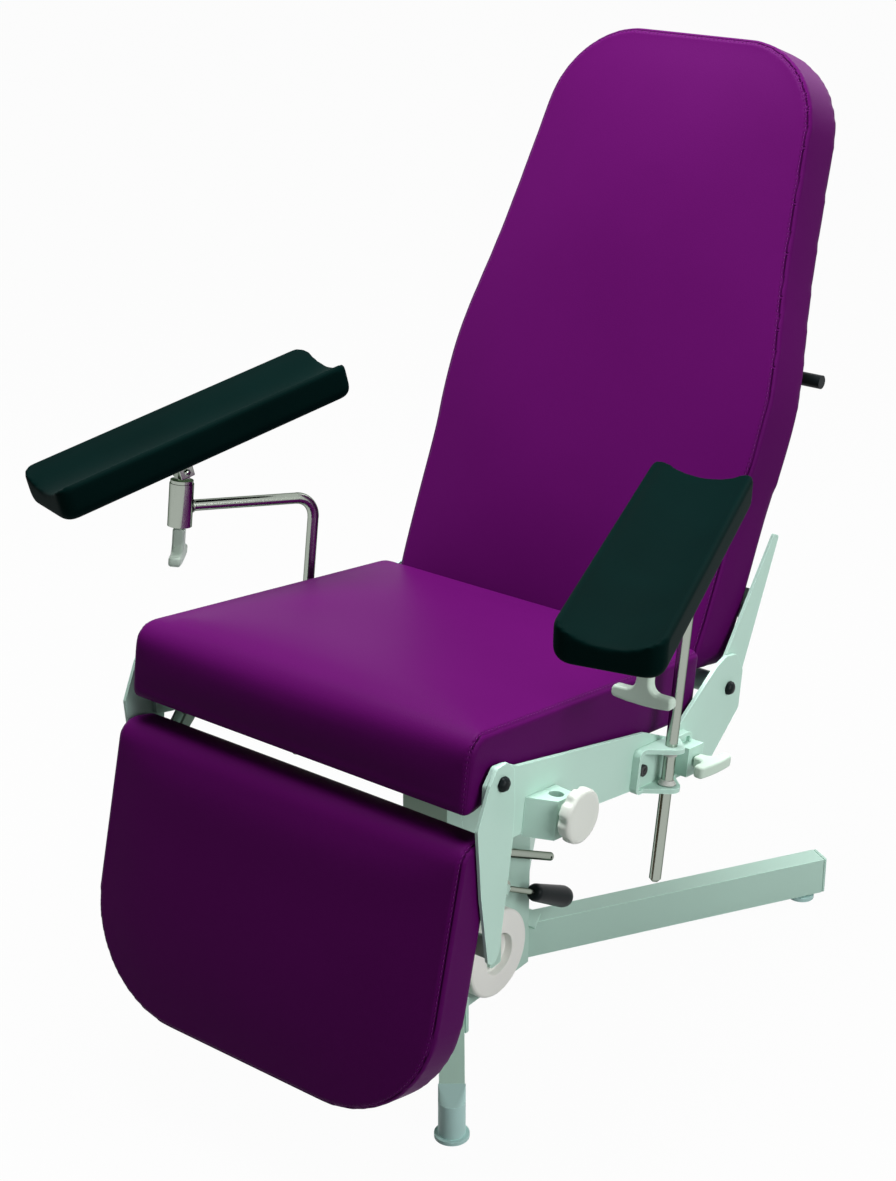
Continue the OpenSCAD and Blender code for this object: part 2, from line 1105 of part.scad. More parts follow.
// Accessory socket on the left rail, with a scalloped clamp knob.
socket_s = 92;
socket_x = side_x + side_t + 18;
knob_r = 33;

module socket_block() {
  x0 = side_x + side_t + 0.2;
  color(paint)
    at_seat()
      difference() {
        translate([0, 0, -80])
          linear_extrude(48)
            polygon([[x0, 56], [x0 + 33, 74], [x0 + 33, 110], [x0, 116]]);
        translate([socket_x, socket_s, -90])
          cylinder(h = 80, d = socket_d);
        translate([0, socket_s + 2, -49])
          rod_x(8, socket_x, x0 + 40);
      }
}

module socket_knob() {
  color(ivory)
    at_seat()
      translate([side_x + side_t + 33.6, socket_s + 2, -49]) {
        rod_x(7.9, -5.5, 8);
        rod_x(26, 0, 6);
        plate(6, 13)
          difference() {
            circle(r = knob_r);
            for (a = [0 : 45 : 315])
              rotate(a)
                translate([knob_r + 5.5, 0])
                  circle(r = 10);
          }
        translate([18.8, 0, 0])
          rotate([0, 90, 0])
            cylinder(h = 5.2, r1 = knob_r, r2 = knob_r - 3);
      }
}

column();
column_head();
base_bridge();
base_gusset();
front_leg_left();
front_leg_right();
rear_leg_left();
rear_leg_right();
rear_end_caps();
front_feet();
levelling_foot_left();
levelling_foot_right();
wheel_axle();
wheel_left();
wheel_right();
pedal_block();
stub_post();
release_lever();
lever_grip();
side_plate_left();
side_plate_right();
seat_straps();
seat_board();
seat_pad();
pivot_pins();
pivot_caps();
back_arm_left();
back_arm_right();
back_bars();
back_board();
back_pad();
push_bar();
push_grips();
leg_arm_left();
leg_arm_right();
leg_bars();
leg_board();
leg_pad();
sync_link();
gas_anchor();
gas_cylinder();
gas_rod();
rail_clamp_left();
rail_clamp_right();
arm_bush_left();
arm_bush_right();
arm_rod_left();
arm_rod_right();
gutter_post_left();
gutter_post_right();
gutter_left();
gutter_right();
sleeve_handle_left();
sleeve_handle_right();
clamp_handle_left();
clamp_handle_right();
socket_block();
socket_knob();
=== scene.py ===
import json
import math
import bmesh
import bpy
from mathutils import Matrix, Vector
from mathutils.bvhtree import BVHTree
from mathutils.geometry import interpolate_bezier
from mathutils.kdtree import KDTree


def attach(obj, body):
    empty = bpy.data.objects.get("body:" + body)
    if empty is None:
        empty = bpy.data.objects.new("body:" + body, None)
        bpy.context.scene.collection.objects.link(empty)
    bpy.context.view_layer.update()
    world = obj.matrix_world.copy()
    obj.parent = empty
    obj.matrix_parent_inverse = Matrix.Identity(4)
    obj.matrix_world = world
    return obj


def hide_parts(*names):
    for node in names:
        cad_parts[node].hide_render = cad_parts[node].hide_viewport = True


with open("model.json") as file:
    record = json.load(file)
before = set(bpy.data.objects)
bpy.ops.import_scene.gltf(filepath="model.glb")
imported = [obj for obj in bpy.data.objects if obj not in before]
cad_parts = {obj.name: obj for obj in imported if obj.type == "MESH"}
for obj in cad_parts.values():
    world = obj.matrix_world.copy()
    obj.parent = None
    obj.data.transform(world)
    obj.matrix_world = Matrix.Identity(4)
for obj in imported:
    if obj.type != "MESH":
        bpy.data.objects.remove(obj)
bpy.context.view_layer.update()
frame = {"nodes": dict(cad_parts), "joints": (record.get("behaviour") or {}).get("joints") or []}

photo_wide, focal_pixels, sensor_wide = 896, 2154, 36
stand = Vector((1.5068, -2.0609, 1.6436))
azimuth = math.radians(37.53)
elevation = math.radians(22.78)
to_right = Vector((math.cos(azimuth), math.sin(azimuth), 0))
to_camera = Vector((math.sin(azimuth) * math.cos(elevation),
                    -math.cos(azimuth) * math.cos(elevation), math.sin(elevation)))
to_top = to_camera.cross(to_right)
camera = bpy.data.objects.new("camera", bpy.data.cameras.new("camera"))
camera.data.sensor_fit = "HORIZONTAL"
camera.data.sensor_width = sensor_wide
camera.data.lens = sensor_wide * focal_pixels / photo_wide
camera.data.clip_end = 60
camera.matrix_world = Matrix((
    (to_right.x, to_top.x, to_camera.x, stand.x),
    (to_right.y, to_top.y, to_camera.y, stand.y),
    (to_right.z, to_top.z, to_camera.z, stand.z),
    (0, 0, 0, 1)))
bpy.context.scene.collection.objects.link(camera)
bpy.context.scene.camera = camera
bpy.context.scene.view_settings.view_transform = "Standard"

# Studio: a wide white floor that takes a faint shadow, white surroundings,
# a large soft lamp overhead, a weaker one from the right and faint ones left and behind.
floor_mesh = bmesh.new()
bmesh.ops.create_grid(floor_mesh, x_segments=4, y_segments=4, size=30)
floor = bpy.data.objects.new("floor", bpy.data.meshes.new("floor"))
floor_mesh.to_mesh(floor.data)
floor_mesh.free()
bpy.context.scene.collection.objects.link(floor)


def seen_white(tree, lit, white_share):
    rays = tree.nodes.new("ShaderNodeLightPath")
    glossy = tree.nodes.new("ShaderNodeMath")
    glossy.operation = "MAXIMUM"
    tree.links.new(rays.outputs["Is Camera Ray"], glossy.inputs[0])
    tree.links.new(rays.outputs["Is Glossy Ray"], glossy.inputs[1])
    through = tree.nodes.new("ShaderNodeMath")
    through.operation = "MAXIMUM"
    tree.links.new(glossy.outputs[0], through.inputs[0])
    tree.links.new(rays.outputs["Is Transmission Ray"], through.inputs[1])
    share = tree.nodes.new("ShaderNodeMath")
    share.operation = "MULTIPLY"
    share.inputs[1].default_value = white_share
    tree.links.new(through.outputs[0], share.inputs[0])
    mix = tree.nodes.new("ShaderNodeMixShader")
    tree.links.new(share.outputs[0], mix.inputs[0])
    tree.links.new(lit, mix.inputs[1])
    return mix


floor_paint = bpy.data.materials.new("white_floor")
floor_paint.use_nodes = True
tree = floor_paint.node_tree
tree.nodes["Principled BSDF"].inputs["Base Color"].default_value = (0.26, 0.26, 0.26, 1)
tree.nodes["Principled BSDF"].inputs["Roughness"].default_value = 0.9
glow = tree.nodes.new("ShaderNodeEmission")
floor_mix = seen_white(tree, tree.nodes["Principled BSDF"].outputs[0], 0.97)
tree.links.new(glow.outputs[0], floor_mix.inputs[2])
tree.links.new(floor_mix.outputs[0], tree.nodes["Material Output"].inputs["Surface"])
floor.data.materials.append(floor_paint)

world = bpy.data.worlds.new("studio")
world.use_nodes = True
bpy.context.scene.world = world
tree = world.node_tree
tree.nodes["Background"].inputs["Color"].default_value = (1, 1, 1, 1)
tree.nodes["Background"].inputs["Strength"].default_value = 0.06
bright = tree.nodes.new("ShaderNodeBackground")
bright.inputs["Color"].default_value = (1, 1, 1, 1)
world_mix = seen_white(tree, tree.nodes["Background"].outputs[0], 1.0)
tree.links.new(bright.outputs[0], world_mix.inputs[2])
tree.links.new(world_mix.outputs[0], tree.nodes["World Output"].inputs["Surface"])

for lamp_name, place, aim, size, power in (
        ("overhead_softbox", (-0.2, 0.12, 2.9), (0, 0, 0.5), 1.6, 138),
        ("right_softbox", (2.5, -0.4, 1.6), (0, 0, 0.35), 1.4, 48),
        ("left_softbox", (-2.6, 0.3, 1.3), (0, 0, 0.5), 1.4, 16),
        ("rear_softbox", (0.4, 2.6, 2.0), (0, 0, 0.7), 1.6, 20)):
    lamp = bpy.data.objects.new(lamp_name, bpy.data.lights.new(lamp_name, "AREA"))
    lamp.data.size = size
    lamp.data.energy = power
    lamp.location = place
    lamp.rotation_euler = (Vector(aim) - Vector(place)).to_track_quat("-Z", "Y").to_euler()
    bpy.context.scene.collection.objects.link(lamp)

# Base: a folded steel column on splayed square tubes, welded up and powder coated in a pale
# grey green. The coat has a fine orange peel, slight clouding and paler edges, partly rubbed wear
# and partly a painted highlight.


def surface_group():
    group = bpy.data.node_groups.new("clouding_and_peel", "ShaderNodeTree")
    for name, kind, value in (
            ("Colour", "NodeSocketColor", (0.5, 0.5, 0.5, 1)),
            ("Cloud Size", "NodeSocketFloat", 9.0),
            ("Cloud Depth", "NodeSocketFloat", 0.08),
            ("Grain Size", "NodeSocketFloat", 900.0),
            ("Edge Wear And Highlight", "NodeSocketFloat", 0.0),
            ("Roughness", "NodeSocketFloat", 0.4),
            ("Roughness Spread", "NodeSocketFloat", 0.1)):
        group.interface.new_socket(name, in_out="INPUT", socket_type=kind).default_value = value
    for name, kind in (("Colour", "NodeSocketColor"), ("Roughness", "NodeSocketFloat"),
                       ("Height", "NodeSocketFloat")):
        group.interface.new_socket(name, in_out="OUTPUT", socket_type=kind)
    nodes, links = group.nodes, group.links
    taken = nodes.new("NodeGroupInput")
    given = nodes.new("NodeGroupOutput")
    place = nodes.new("ShaderNodeTexCoord")
    cloud = nodes.new("ShaderNodeTexNoise")
    cloud.inputs["Detail"].default_value = 5
    links.new(place.outputs["Object"], cloud.inputs["Vector"])
    links.new(taken.outputs["Cloud Size"], cloud.inputs["Scale"])
    centred = nodes.new("ShaderNodeMath")
    centred.operation = "SUBTRACT"
    centred.inputs[1].default_value = 0.5
    links.new(cloud.outputs["Fac"], centred.inputs[0])
    # Paler edges where the bevelled normal turns from the surface normal, broken up by the clouding
    # noise: partly rubbed wear and partly a painted highlight.
    shape = nodes.new("ShaderNodeNewGeometry")
    eased = nodes.new("ShaderNodeBevel")
    eased.samples = 4
    eased.inputs["Radius"].default_value = 0.0022
    turn = nodes.new("ShaderNodeVectorMath")
    turn.operation = "DOT_PRODUCT"
    links.new(shape.outputs["Normal"], turn.inputs[0])
    links.new(eased.outputs["Normal"], turn.inputs[1])
    edge = nodes.new("ShaderNodeMath")
    edge.operation = "SUBTRACT"
    edge.inputs[0].default_value = 1.0
    links.new(turn.outputs["Value"], edge.inputs[1])
    patches = nodes.new("ShaderNodeMath")
    patches.operation = "MULTIPLY"
    links.new(edge.outputs[0], patches.inputs[0])
    links.new(cloud.outputs["Fac"], patches.inputs[1])
    rubbed_and_highlit = nodes.new("ShaderNodeMath")
    rubbed_and_highlit.operation = "MULTIPLY_ADD"
    rubbed_and_highlit.inputs[2].default_value = 1.0
    links.new(patches.outputs[0], rubbed_and_highlit.inputs[0])
    links.new(taken.outputs["Edge Wear And Highlight"], rubbed_and_highlit.inputs[1])
    depth = nodes.new("ShaderNodeMath")
    depth.operation = "MULTIPLY_ADD"
    links.new(centred.outputs[0], depth.inputs[0])
    links.new(taken.outputs["Cloud Depth"], depth.inputs[1])
    links.new(rubbed_and_highlit.outputs[0], depth.inputs[2])
    tint = nodes.new("ShaderNodeVectorMath")
    tint.operation = "SCALE"
    links.new(taken.outputs["Colour"], tint.inputs[0])
    links.new(depth.outputs[0], tint.inputs["Scale"])
    links.new(tint.outputs[0], given.inputs["Colour"])
    rough = nodes.new("ShaderNodeMath")
    rough.operation = "MULTIPLY_ADD"
    links.new(centred.outputs[0], rough.inputs[0])
    links.new(taken.outputs["Roughness Spread"], rough.inputs[1])
    links.new(taken.outputs["Roughness"], rough.inputs[2])
    links.new(rough.outputs[0], given.inputs["Roughness"])
    grain = nodes.new("ShaderNodeTexNoise")
    grain.inputs["Detail"].default_value = 3
    links.new(place.outputs["Object"], grain.inputs["Vector"])
    links.new(taken.outputs["Grain Size"], grain.inputs["Scale"])
    links.new(grain.outputs["Fac"], given.inputs["Height"])
    return group


clouding = surface_group()


def coated(name, colour, roughness, grain, bump, cloud=0.08, spread=0.1, metallic=0.0,
           gloss=0.5, wear_and_highlight=0.0):
    material = bpy.data.materials.new(name)
    material.use_nodes = True
    tree = material.node_tree
    shader = tree.nodes["Principled BSDF"]
    shader.inputs["Metallic"].default_value = metallic
    shader.inputs["Specular IOR Level"].default_value = gloss
    surface = tree.nodes.new("ShaderNodeGroup")
    surface.node_tree = clouding
    surface.inputs["Colour"].default_value = (*colour, 1)
    surface.inputs["Grain Size"].default_value = grain
    surface.inputs["Roughness"].default_value = roughness
    surface.inputs["Roughness Spread"].default_value = spread
    surface.inputs["Cloud Depth"].default_value = cloud
    surface.inputs["Edge Wear And Highlight"].default_value = wear_and_highlight
    relief = tree.nodes.new("ShaderNodeBump")
    relief.inputs["Strength"].default_value = bump
    relief.inputs["Distance"].default_value = 0.0004
    tree.links.new(surface.outputs["Colour"], shader.inputs["Base Color"])
    tree.links.new(surface.outputs["Roughness"], shader.inputs["Roughness"])
    tree.links.new(surface.outputs["Height"], relief.inputs["Height"])
    tree.links.new(relief.outputs["Normal"], shader.inputs["Normal"])
    return material


frame_paint = coated("grey_green_powder_coat", (0.45, 0.65, 0.565), 0.42, 700, 0.12, gloss=0.25,
                     wear_and_highlight=1.6)


def dress(nodes, material, edge=0.0):
    for node in nodes:
        piece = frame["nodes"][node]
        piece.data.materials.clear()
        piece.data.materials.append(material)
        for face in piece.data.polygons:
            face.material_index = 0
            face.use_smooth = True
        joined = piece.modifiers.new("joined", "WELD")
        joined.merge_threshold = 0.00002
        if edge:
            eased = piece.modifiers.new("eased_edges", "BEVEL")
            eased.width = edge
            eased.segments = 2
            eased.limit_method = "ANGLE"
            eased.angle_limit = math.radians(38)
        crisp = piece.modifiers.new("crisp_edges", "EDGE_SPLIT")
        crisp.split_angle = math.radians(34)
        piece.modifiers.new("flat_faces", "WEIGHTED_NORMAL")


dress(("column", "column_head", "base_bridge", "base_gusset", "front_leg_left",
       "front_leg_right", "rear_leg_left", "rear_leg_right", "rear_end_caps"),
      frame_paint, 0.0014)

# Feet: grey moulded plastic. The front ones are noses on flat flanges, pressed into the tubes,
# and the rear ones are screwed in from below to level the chair.
# The edge setting pales the feet's edges: partly rubbed wear and partly a painted highlight.
grey_plastic = coated("grey_moulded_plastic", (0.44, 0.66, 0.63), 0.45, 1400, 0.10, gloss=0.25,
                      wear_and_highlight=1.2)
dress(("front_feet", "levelling_foot_left", "levelling_foot_right"), grey_plastic, 0.0016)

# Wheels: off-white solid plastic discs beside the column, with a deep hub recess,
# held on the axle by a painted plate at each end.
ivory_plastic = coated("off_white_plastic", (0.84, 0.84, 0.80), 0.38, 1200, 0.06, cloud=0.05,
                       gloss=0.4)
dress(("wheel_left", "wheel_right"), ivory_plastic, 0.0020)
dress(("wheel_axle",), frame_paint, 0.0010)

# Release lever: a bright rod that swings on the painted block beside the column,
# with a black soft grip pushed on its end. A fixed bright post stands above it.
stainless = coated("polished_stainless", (0.36, 0.40, 0.35), 0.16, 260, 0.05,
                   cloud=0.12, spread=0.12, metallic=1.0)
# A dark specular tint darkens the metal's rims at grazing angles: a painted dark reflection.
painted_dark_rim_reflection = (0.10, 0.12, 0.10, 1)
stainless.node_tree.nodes["Principled BSDF"].inputs["Specular Tint"].default_value = painted_dark_rim_reflection
black_plastic = coated("black_moulding", (0.005, 0.008, 0.009), 0.35, 900, 0.05, gloss=0.08)
dress(("pedal_block",), frame_paint, 0.0012)
dress(("stub_post", "release_lever"), stainless)


def laid(origin, across, along, out):
    return Matrix((
        (across.x, along.x, out.x, origin.x),
        (across.y, along.y, out.y, origin.y),
        (across.z, along.z, out.z, origin.z),
        (0, 0, 0, 1)))


def turned(profile, steps):
    bm = bmesh.new()
    line = [bm.verts.new((radius, 0, height)) for radius, height in profile]
    edges = [bm.edges.new(pair) for pair in zip(line, line[1:])]
    bmesh.ops.spin(bm, geom=line + edges, cent=(0, 0, 0), axis=(0, 0, 1),
                   angle=2 * math.pi, steps=steps, use_merge=True)
    bmesh.ops.remove_doubles(bm, verts=bm.verts[:], dist=0.00001)
    bmesh.ops.recalc_face_normals(bm, faces=bm.faces[:])
    return bm


def made(name, bm, material, place, body, node=None):
    piece = bpy.data.objects.new(name, bpy.data.meshes.new(name))
    bm.transform(place)
    bmesh.ops.recalc_face_normals(bm, faces=bm.faces[:])
    bm.to_mesh(piece.data)
    bm.free()
    for face in piece.data.polygons:
        face.use_smooth = True
    piece.data.materials.append(material)
    bpy.context.scene.collection.objects.link(piece)
    piece.modifiers.new("flat_faces", "WEIGHTED_NORMAL")
    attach(piece, body)
    if node:
        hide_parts(node)
    return piece


pivots = {joint["name"]: Vector(joint["pos_m"]) for joint in frame["joints"] if "pos_m" in joint}
right_to_left = Vector((1, 0, 0))
lever_drop = math.radians(29.5)
lever_run = Vector((0, math.cos(lever_drop), -math.sin(lever_drop)))
lever_out, grip_from = 0.0646, 0.080
lever_pivot = pivots["release_lever_lift"]
lever_root = Vector((lever_out, lever_pivot.y, lever_pivot.z))
grip = turned(((0.0041, 0.0), (0.0074, 0.0), (0.0096, 0.0010), (0.0114, 0.0034), (0.0124, 0.007),
               (0.0130, 0.024), (0.0141, 0.050), (0.0152, 0.074), (0.0153, 0.081), (0.0142, 0.087),
               (0.0112, 0.0918), (0.0060, 0.0937), (0.0, 0.094)), 44)
made("soft_grip", grip, black_plastic,
     laid(lever_root + lever_run * grip_from, right_to_left, lever_run.cross(right_to_left),
          lever_run),
     "lever", "lever_grip")

# Seat rails: laser cut steel plates on both sides, joined by flat straps under the seat board.
# The pivots are pins with black dome caps, the domes slightly six-sided. Socket screws
# hold each board to its straps.
seat_back = (pivots["back_recline"] - pivots["leg_rest_lift"]).normalized()
seat_up = right_to_left.cross(seat_back)
dress(("side_plate_left", "side_plate_right", "seat_straps"), frame_paint, 0.0010)
dress(("pivot_pins",), stainless)


def gathered(parts):
    whole = bmesh.new()
    for part, place in parts:
        part.transform(place)
        spare = bpy.data.meshes.new("spare")
        part.to_mesh(spare)
        part.free()
        whole.from_mesh(spare)
        bpy.data.meshes.remove(spare)
    return whole


six_sided = 0.035
caps = []
for pivot, cap_out in (("leg_rest_lift", 0.2739), ("back_recline", 0.2689)):
    for side in (1, -1):
        dome = turned(((0.0, 0.0), (0.0088, 0.0), (0.0090, 0.0010), (0.0086, 0.0036),
                       (0.0072, 0.0058), (0.0046, 0.0072), (0.0020, 0.0076), (0.0, 0.0076)), 48)
        for vert in dome.verts:
            flat = 1 + six_sided * math.cos(6 * math.atan2(vert.co.y, vert.co.x))
            vert.co.x *= flat
            vert.co.y *= flat
        caps.append((dome, laid(pivots[pivot] + right_to_left * side * cap_out,
                                seat_back, seat_up * side, right_to_left * side)))
made("dome_caps", gathered(caps), black_plastic, Matrix.Identity(4), "frame",
     "pivot_caps")


def socket_screw(radius, high):
    bm = turned(((radius * 0.62, high), (radius * 0.86, high), (radius, high * 0.8),
                 (radius, 0.0)), 36)
    rim = [e for e in bm.edges if all(v.co.z > high * 0.99 and v.co.xy.length < radius * 0.7
                                      for v in e.verts)]
    hexagon = bmesh.ops.create_circle(bm, segments=6, radius=radius * 0.56, cap_ends=False)
    bmesh.ops.translate(bm, vec=(0, 0, high), verts=hexagon["verts"])
    sides = list(dict.fromkeys(e for v in hexagon["verts"] for e in v.link_edges))
    cut = bmesh.ops.subdivide_edges(bm, edges=sides, cuts=5)
    walls = list(dict.fromkeys(e for e in cut["geom"] if isinstance(e, bmesh.types.BMEdge)))
    bmesh.ops.bridge_loops(bm, edges=rim + walls)
    sunk = bmesh.ops.extrude_edge_only(bm, edges=walls)
    floor_verts = [v for v in sunk["geom"] if isinstance(v, bmesh.types.BMVert)]
    bmesh.ops.translate(bm, vec=(0, 0, -high * 0.7), verts=floor_verts)
    bmesh.ops.contextual_create(bm, geom=[e for e in sunk["geom"]
                                          if isinstance(e, bmesh.types.BMEdge)
                                          and all(v in floor_verts for v in e.verts)])
    return bm


def strap_screws(name, middle, along, out, body):
    head_radius, head_high = 0.0046, 0.0030
    row = []
    for across in (-0.21, -0.13, 0.13, 0.21):
        row.append((socket_screw(head_radius, head_high),
                    laid(middle + right_to_left * across, right_to_left, along, out)))
    made(name, gathered(row), stainless, Matrix.Identity(4), body)


strap_under = 0.0499
for strap, back in (("front", 0.120), ("rear", 0.350)):
    strap_screws("seat_screws_" + strap,
                 pivots["leg_rest_lift"] + seat_back * back - seat_up * strap_under,
                 -seat_back, -seat_up, "frame")

# Seat cushion: plum coated cloth over firm foam on a plywood board. One top panel rolls over the
# front edge to a low lip, and a side strip is sewn to it round the sides and the rear.


def plywood():
    material = coated("sealed_plywood", (0.33, 0.23, 0.13), 0.55, 240, 0.2, cloud=0.3, gloss=0.3)
    nodes, links = material.node_tree.nodes, material.node_tree.links
    surface = next(node for node in nodes if node.type == "GROUP")
    place = nodes.new("ShaderNodeTexCoord")
    stretch = nodes.new("ShaderNodeMapping")
    stretch.inputs["Scale"].default_value = (2.2, 70, 70)
    links.new(place.outputs["Object"], stretch.inputs["Vector"])
    veneer = nodes.new("ShaderNodeTexNoise")
    veneer.inputs["Scale"].default_value = 1.0
    veneer.inputs["Detail"].default_value = 6
    veneer.inputs["Distortion"].default_value = 0.8
    links.new(stretch.outputs["Vector"], veneer.inputs["Vector"])
    figure = nodes.new("ShaderNodeValToRGB")
    figure.color_ramp.elements[0].position = 0.34
    figure.color_ramp.elements[0].color = (0.25, 0.155, 0.080, 1)
    figure.color_ramp.elements[1].position = 0.68
    figure.color_ramp.elements[1].color = (0.40, 0.285, 0.165, 1)
    links.new(veneer.outputs["Fac"], figure.inputs["Fac"])
    links.new(figure.outputs["Color"], surface.inputs["Colour"])
    return material


board_wood = plywood()
dress(("seat_board",), board_wood, 0.0010)


def plum_vinyl():
    material = bpy.data.materials.new("plum_coated_cloth")
    material.use_nodes = True
    tree = material.node_tree
    nodes, links = tree.nodes, tree.links
    shader = nodes["Principled BSDF"]
    shader.inputs["Specular IOR Level"].default_value = 0.02
    surface = nodes.new("ShaderNodeGroup")
    surface.node_tree = clouding
    surface.inputs["Colour"].default_value = (0.070, 0.0026, 0.0755, 1)
    surface.inputs["Cloud Size"].default_value = 5
    surface.inputs["Cloud Depth"].default_value = 0.16
    surface.inputs["Grain Size"].default_value = 420
    surface.inputs["Roughness"].default_value = 0.45
    surface.inputs["Roughness Spread"].default_value = 0.12
    # The seam attribute darkens the vinyl by up to three quarters in the seam groove and stitch
    # holes: painted shade, with some dirt.
    seam = nodes.new("ShaderNodeAttribute")
    seam.attribute_name = "seam"
    seam_dirt_and_painted_shade = nodes.new("ShaderNodeMath")
    seam_dirt_and_painted_shade.operation = "MULTIPLY_ADD"
    seam_dirt_and_painted_shade.inputs[1].default_value = -0.75
    seam_dirt_and_painted_shade.inputs[2].default_value = 1.0
    links.new(seam.outputs["Fac"], seam_dirt_and_painted_shade.inputs[0])
    tint = nodes.new("ShaderNodeVectorMath")
    tint.operation = "SCALE"
    links.new(surface.outputs["Colour"], tint.inputs[0])
    links.new(seam_dirt_and_painted_shade.outputs[0], tint.inputs["Scale"])
    place = nodes.new("ShaderNodeTexCoord")
    pebble = nodes.new("ShaderNodeTexVoronoi")
    pebble.inputs["Scale"].default_value = 620
    links.new(place.outputs["Object"], pebble.inputs["Vector"])
    both = nodes.new("ShaderNodeMath")
    both.operation = "MULTIPLY_ADD"
    both.inputs[1].default_value = 0.6
    links.new(pebble.outputs["Distance"], both.inputs[0])
    links.new(surface.outputs["Height"], both.inputs[2])
    relief = nodes.new("ShaderNodeBump")
    relief.inputs["Strength"].default_value = 0.16
    relief.inputs["Distance"].default_value = 0.0005
    links.new(both.outputs[0], relief.inputs["Height"])
    links.new(tint.outputs[0], shader.inputs["Base Color"])
    links.new(surface.outputs["Roughness"], shader.inputs["Roughness"])
    links.new(relief.outputs["Normal"], shader.inputs["Normal"])
    return material


vinyl = plum_vinyl()
thread = coated("plum_thread", (0.120, 0.009, 0.128), 0.6, 2600, 0.3, gloss=0.1)


def rounded_outline(corners):
    bm = bmesh.new()
    verts = [bm.verts.new((u, v, 0)) for u, v, radius in corners]
    bm.faces.new(verts)
    for vert, corner in zip(verts, corners):
        if corner[2]:
            bmesh.ops.bevel(bm, geom=[vert], offset=corner[2], affect="VERTICES",
                            segments=10, profile=0.5, material=-1)
    return bm


def raised(bm, height):
    grown = bmesh.ops.extrude_face_region(bm, geom=bm.faces[:])
    top = [v for v in grown["geom"] if isinstance(v, bmesh.types.BMVert)]
    bmesh.ops.translate(bm, vec=(0, 0, height), verts=top)
    bmesh.ops.recalc_face_normals(bm, faces=bm.faces[:])


def seam_between(bm, is_strip):
    bm.normal_update()
    sewn = [e for e in bm.edges if sum(is_strip(f.normal) for f in e.link_faces) == 1
            and all(f.normal.z > -0.5 for f in e.link_faces)]
    uses = {}
    for edge in sewn:
        for vert in edge.verts:
            uses[vert] = uses.get(vert, 0) + 1
    here = next((vert for vert in uses if uses[vert] == 1), sewn[0].verts[0])
    left = list(sewn)
    stretches = []
    while True:
        edge = next((e for e in here.link_edges if e in left), None)
        if edge is None:
            return stretches
        left.remove(edge)
        there = edge.other_vert(here)
        panel = next(f for f in edge.link_faces if not is_strip(f.normal))
        run = (there.co - here.co).normalized()
        inward = panel.calc_center_median() - (here.co + there.co) / 2
        inward -= run * inward.dot(run)
        stretches.append((here.co.copy(), there.co.copy(), inward.normalized()))
        here = there


def paced(stretches, gap):
    spots = []
    carried = 0.0
    for start, stop, inward in stretches:
        length = (stop - start).length
        run = (stop - start) / length
        while carried < length:
            spots.append((start + run * carried, run, inward))
            carried += gap
        carried -= length
    return spots


def upholstered(name, bm, is_strip, voxel, crown, strip_swell):
    """Stuffs a foam block's cover by a cloth simulation, then sews its seam into the mesh."""
    edge_round, seam_step = 0.008, 0.001
    stretches = seam_between(bm, is_strip)
    edges = [e for e in bm.edges if e.calc_face_angle() > math.radians(45)]
    bmesh.ops.bevel(bm, geom=edges, offset=edge_round, affect="EDGES", segments=6, profile=0.5,
                    material=-1)
    foam = BVHTree.FromBMesh(bm)
    block = bpy.data.objects.new(name + "_block", bpy.data.meshes.new(name + "_block"))
    bm.to_mesh(block.data)
    bm.free()
    bpy.context.scene.collection.objects.link(block)
    even = block.modifiers.new("even", "REMESH")
    even.mode = "VOXEL"
    even.voxel_size = voxel
    soft = block.modifiers.new("soft", "SMOOTH")
    soft.factor = 0.5
    soft.iterations = 4
    graph = bpy.context.evaluated_depsgraph_get()
    cover = bpy.data.meshes.new_from_object(block.evaluated_get(graph))
    bpy.data.objects.remove(block)
    for vert in cover.vertices:
        vert.co = foam.find_nearest(vert.co)[0]
    pad = bpy.data.objects.new(name, cover)
    bpy.context.scene.collection.objects.link(pad)
    spots = paced(stretches, seam_step)
    seam_tree = KDTree(len(spots))
    for index, spot in enumerate(spots):
        seam_tree.insert(pad.closest_point_on_mesh(spot[0])[1], index)
    seam_tree.balance()
    swell(pad, seam_tree, is_strip, crown, strip_swell)
    finer = pad.modifiers.new("finer", "SUBSURF")
    finer.levels = finer.render_levels = 1
    graph = bpy.context.evaluated_depsgraph_get()
    pad.data = bpy.data.meshes.new_from_object(pad.evaluated_get(graph))
    pad.modifiers.clear()
    stitches = sew(pad, stretches, seam_tree)
    return pad, stitches


